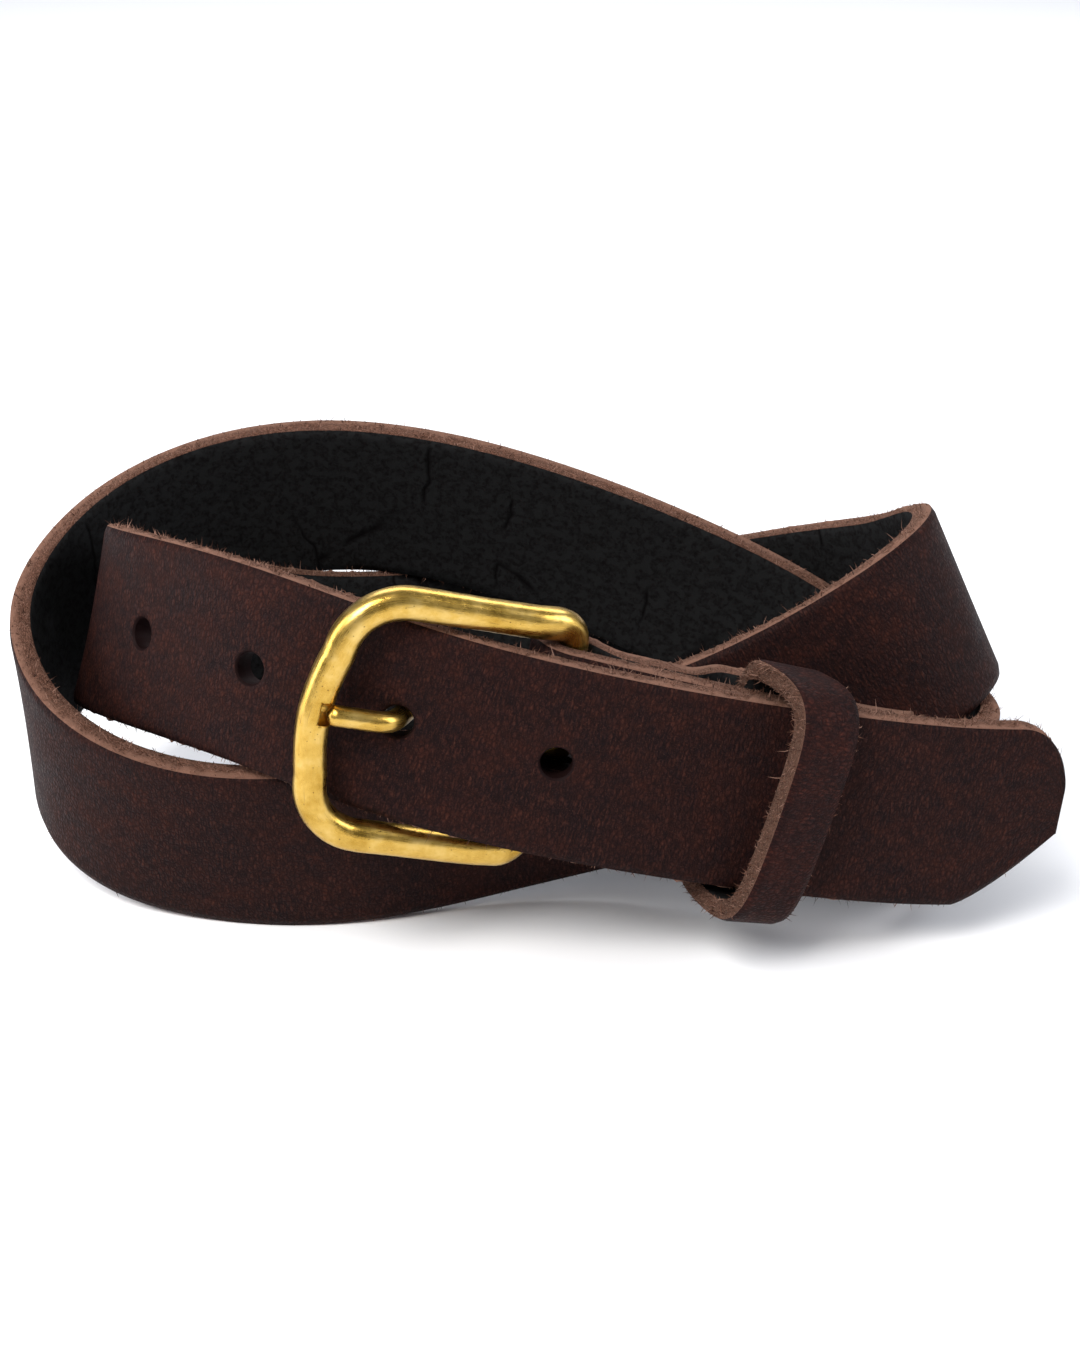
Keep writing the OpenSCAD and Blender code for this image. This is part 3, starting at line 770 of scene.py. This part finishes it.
def edge_leather(name, border, span, dark=1.0):
    """Raw cut edge: pinkish-brown fibres with dark specks, paler by the grain."""
    g = Graph(name)
    fibre, _ = g.noise(g.strap_vector(2.2, 5.0, 0.3, 1.5), 1.0, 4, 0.7)
    clump, _ = g.noise(g.strap_vector(0.7, 1.2), 1.0, 3, 0.6)
    specks = g.voronoi(g.strap_vector(3.6, 4.6, 0.2, 2.0), 1.0)
    base = g.ramp(fibre, [(0.34, (0.030 * dark, 0.0115 * dark, 0.0070 * dark)),
                          (0.49, (0.120 * dark, 0.050 * dark, 0.031 * dark)),
                          (0.63, (0.270 * dark, 0.135 * dark, 0.092 * dark))])
    clumped = g.mix(g.ramp(clump, [(0.35, 0.45), (0.6, 0.0)]), base,
                    (0.060 * dark, 0.026 * dark, 0.017 * dark))
    dotted = g.mix(g.ramp(specks, [(0.10, 0.75), (0.32, 0.0)]), clumped, (0.022, 0.010, 0.007))
    uv = g.node("ShaderNodeUVMap", uv_map="along_across").outputs[0]
    across = g.node("ShaderNodeSeparateXYZ")
    g.feed(across.inputs[0], uv)
    near = g.math("MINIMUM", *[g.math("ABSOLUTE", g.math("SUBTRACT", across.outputs[1], at))
                               for at in border])
    wander, _ = g.noise(g.strap_vector(0.5, 0.1), 1.0, 2)
    line = g.math("SUBTRACT", g.math("DIVIDE", near, span), g.math("MULTIPLY", wander, 0.25))
    pale = g.ramp(line, [(0.30, 0.75), (0.70, 0.0)])
    colour = g.mix(pale, dotted, (0.24 * dark, 0.120 * dark, 0.082 * dark))
    height = g.math("SUBTRACT", fibre, g.math("MULTIPLY", pale, 0.3))
    normal = g.bump(height, 0.45, 1.0)
    return g.set(colour=colour, roughness=0.92, normal=normal, specular=0.12, sheen=0.10,
                 sheen_roughness=0.5, sheen_tint=(0.9, 0.65, 0.5))


def flesh_leather(name):
    """Near-black suede, partly its own dark colour and partly painted shade: grey blotches, reddish
    specks and a few long cracks darkened with painted shade.
    """
    g = Graph(name)
    nap, _ = g.noise(g.strap_vector(1.4, 1.1, 0.8, 0.6), 1.0, 5, 0.6)
    blotch, _ = g.noise(g.strap_vector(0.55, 0.6, 1.5, 0.3), 1.0, 3, 0.5)
    crack = g.voronoi(g.strap_vector(0.045, 0.022, 5.0, 0.12), 1.0, "DISTANCE_TO_EDGE")
    gate, _ = g.noise(g.strap_vector(0.05, 0.06), 1.0, 2)
    specks, _ = g.noise(g.strap_vector(4.0, 4.0), 1.0, 2)
    # Partly painted shade: the near-black base is partly the suede's own dark colour and partly
    # shade painted in.
    base = g.ramp(nap, [(0.36, (0.0042, 0.0036, 0.0036)), (0.60, (0.0105, 0.0104, 0.0106))])
    grey = g.mix(g.ramp(blotch, [(0.48, 0.0), (0.56, 0.8)]), base, (0.0125, 0.0128, 0.0130))
    red = g.mix(g.ramp(specks, [(0.66, 0.0), (0.74, 0.8)]), grey, (0.030, 0.009, 0.007))
    line = g.math("SUBTRACT", 1.0, g.math("MINIMUM", g.math("MULTIPLY", crack, 45.0), 1.0))
    open_crack = g.math("MULTIPLY", line, g.ramp(gate, [(0.50, 0.0), (0.58, 1.0)]))
    # Painted shade: the open cracks are darkened to near black, where shade falls in them.
    colour = g.mix(open_crack, red, (0.0015, 0.001, 0.001))
    height = g.math("SUBTRACT", nap, g.math("MULTIPLY", open_crack, 1.2))
    normal = g.bump(height, 0.25, 0.6)
    return g.set(colour=colour, roughness=0.88, normal=normal, specular=0.06)


def aged_brass(name, wear=1.0):
    """Worn brass: drawn scratches along the bar, pits, and brown tarnish in patches."""
    g = Graph(name)
    drawn, _ = g.noise(g.strap_vector(0.35, 7.0), 1.0, 4, 0.6)
    cloud, _ = g.noise(g.strap_vector(0.22, 0.30, 0.8, 0.2), 1.0, 4, 0.6)
    pits = g.voronoi(g.strap_vector(0.9, 1.3, 0.5, 0.7), 1.0)
    gouge, _ = g.noise(g.strap_vector(0.16, 3.2, 0.4, 0.3), 1.0, 3, 0.5)
    base = g.ramp(cloud, [(0.30, (0.42, 0.24, 0.035)), (0.52, (0.60, 0.38, 0.085)),
                          (0.70, (0.72, 0.50, 0.16))])
    pit = g.ramp(pits, [(0.05, 0.8 * wear), (0.13, 0.0)])
    marks = g.ramp(gouge, [(0.66, 0.0), (0.72, 0.6 * wear)])
    aged = g.mix(pit, base, (0.16, 0.09, 0.03))
    colour = g.mix(marks, aged, (0.30, 0.19, 0.06))
    height = g.math("SUBTRACT", g.math("MULTIPLY", drawn, 0.35),
                    g.math("ADD", g.math("MULTIPLY", pit, 0.9), g.math("MULTIPLY", marks, 0.8)))
    normal = g.bump(height, 0.05, 0.6)
    normal = g.bump(cloud, 0.5, 0.25, normal)
    rough_map = g.ramp(g.math("ADD", g.math("MULTIPLY", drawn, 0.5), g.math("MULTIPLY", cloud, 0.5)),
                       [(0.35, 0.20), (0.65, 0.40)])
    return g.set(colour=colour, roughness=rough_map, normal=normal, metallic=1.0)


def object_metal(name, low, high, rough_low, rough_high):
    """A turned metal for small CAD pieces, patterned by place."""
    g = Graph(name)
    place = g.node("ShaderNodeTexCoord").outputs["Object"]
    cloud, _ = g.noise(place, 900.0, 4, 0.6)
    scratch, _ = g.noise(g.scaled(place, (400, 3000, 3000)), 1.0, 3)
    colour = g.ramp(cloud, [(0.35, low), (0.65, high)])
    rough_map = g.ramp(scratch, [(0.35, rough_low), (0.65, rough_high)])
    normal = g.bump(scratch, 0.03, 0.4)
    return g.set(colour=colour, roughness=rough_map, normal=normal, metallic=1.0)


def plain_fibre(name, colour):
    """One dull colour for loose fibres."""
    return Graph(name).set(colour=colour, roughness=0.9, specular=0.15)


def give(obj, *materials):
    """Fills the object's material slots, so that its faces keep their material numbers."""
    slots = obj.data.materials
    for k, material in enumerate(materials):
        if k < len(slots):
            slots[k] = material
        else:
            slots.append(material)


# ---------------------------------------------------------------- studio
def area_light(name, place, aim, size, watts, colour):
    """A rectangular lamp at a place in metres, aimed at a point."""
    data = bpy.data.lights.new(name, "AREA")
    data.shape, data.size, data.size_y = "RECTANGLE", size[0], size[1]
    data.energy, data.color = watts, colour
    obj = bpy.data.objects.new(name, data)
    obj.location = place
    obj.rotation_mode = "QUATERNION"
    obj.rotation_quaternion = (Vector(aim) - Vector(place)).to_track_quat("-Z", "Y")
    bpy.context.scene.collection.objects.link(obj)


def build_studio():
    """Pale surroundings, four soft lamps and a white floor."""
    scene = bpy.context.scene
    scene.view_settings.view_transform = "Standard"
    world = bpy.data.worlds.new("studio")
    world.use_nodes = True
    background = world.node_tree.nodes["Background"]
    background.inputs["Color"].default_value = (0.86, 0.90, 1.0, 1)
    background.inputs["Strength"].default_value = 0.30
    scene.world = world
    area_light("key", (-0.45, -0.60, 0.95), (0, 0, 0.02), (0.6, 0.6), 15.0, (1.0, 0.98, 0.95))
    area_light("left", (-0.95, -0.10, 0.35), (0, 0, 0.03), (0.5, 0.6), 6.0, (0.92, 0.95, 1.0))
    area_light("right", (0.95, -0.15, 0.45), (0, 0, 0.03), (0.5, 0.7), 6.0, (0.92, 0.95, 1.0))
    area_light("back", (0.1, 0.85, 0.8), (0, 0, 0.03), (1.2, 0.5), 8.0, (0.95, 0.97, 1.0))
    far = 4000
    corners = [[-far, -far, 0], [far, -far, 0], [far, far, 0], [-far, far, 0]]
    floor = new_object("floor", corners, [(0, 1, 2, 3)], smooth=False)
    give(floor, Graph("floor_white").set(colour=(0.93, 0.93, 0.94), roughness=0.9,
                                         specular=0.1))


def build_camera():
    """A level view from 26 degrees above, close enough to show perspective."""
    data = bpy.data.cameras.new("camera")
    focal_over_height = 43 / 27
    data.sensor_width = 36.0
    data.lens = focal_over_height * data.sensor_width
    cam = bpy.data.objects.new("camera", data)
    elevation, distance = math.radians(26), 380.0
    target = np.array([0.0, 0.0, 30.0]) + SEAT
    back = np.array([0.0, -math.cos(elevation), math.sin(elevation)])
    cam.location = Vector((target + back * distance) * MM)
    cam.rotation_mode = "QUATERNION"
    cam.rotation_quaternion = Vector(-back).to_track_quat("-Z", "Y")
    data.clip_start, data.clip_end = 0.01, 20
    bpy.context.scene.collection.objects.link(cam)
    bpy.context.scene.camera = cam


# ---------------------------------------------------------------- the belt
def place(piece, body, slot, *nodes):
    """Lets a piece ride on its body in place of its CAD nodes; slot is not used."""
    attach(piece, body)
    if nodes:
        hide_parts(*nodes)


def main():
    """Makes every piece in order and gives it its material and body."""
    build_camera()
    build_studio()
    grain = grain_leather("strap_grain")
    wall_span = STRAP_T - 0.3
    borders = (STRAP_W, 2 * STRAP_W + 2 * wall_span)
    edge = edge_leather("strap_edge", borders, 2.0)
    flesh = flesh_leather("strap_flesh")
    fibres = [plain_fibre("fibre_pale", (0.27, 0.150, 0.110)),
              plain_fibre("fibre_tan", (0.125, 0.058, 0.038)),
              plain_fibre("fibre_dark", (0.040, 0.017, 0.011))]
    brass = aged_brass("brass_aged")

    strap = build_strap()
    give(strap, grain, edge, flesh)
    cut_away(strap, strap_cutters())
    place(strap, "strap_body", "leather_strap", "strap")
    fuzz = strap_fuzz()
    give(fuzz, *fibres)
    place(fuzz, "strap_body", "leather_strap")

    keeper = build_keeper()
    give(keeper, grain_leather("keeper_grain", 1.15),
         edge_leather("keeper_edge", (KEEPER_W, 2 * KEEPER_W + 2 * KEEPER_T), 1.6, 0.6),
         flesh_leather("keeper_flesh"))
    place(keeper, "keeper_loop", "leather_keeper", "keeper")
    fuzz = keeper_fuzz()
    give(fuzz, *fibres)
    place(fuzz, "keeper_loop", "leather_keeper")

    buckle = build_buckle()
    give(buckle, brass)
    cut_away(buckle, [notch_cutter()])
    place(buckle, "buckle", "buckle_brass", "buckle_frame")
    tongue = build_tongue()
    give(tongue, aged_brass("brass_tongue", 0.7))
    place(tongue, "prong", "buckle_brass", "tongue")

    screw = object_metal("screw_brass", (0.55, 0.38, 0.12), (0.78, 0.60, 0.28), 0.25, 0.45)
    steel = object_metal("staple_steel", (0.42, 0.42, 0.42), (0.62, 0.62, 0.60), 0.25, 0.5)
    for name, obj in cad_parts.items():
        if name.startswith("screw"):
            give(obj, screw)
        if name == "keeper_staple":
            give(obj, steel)


main()
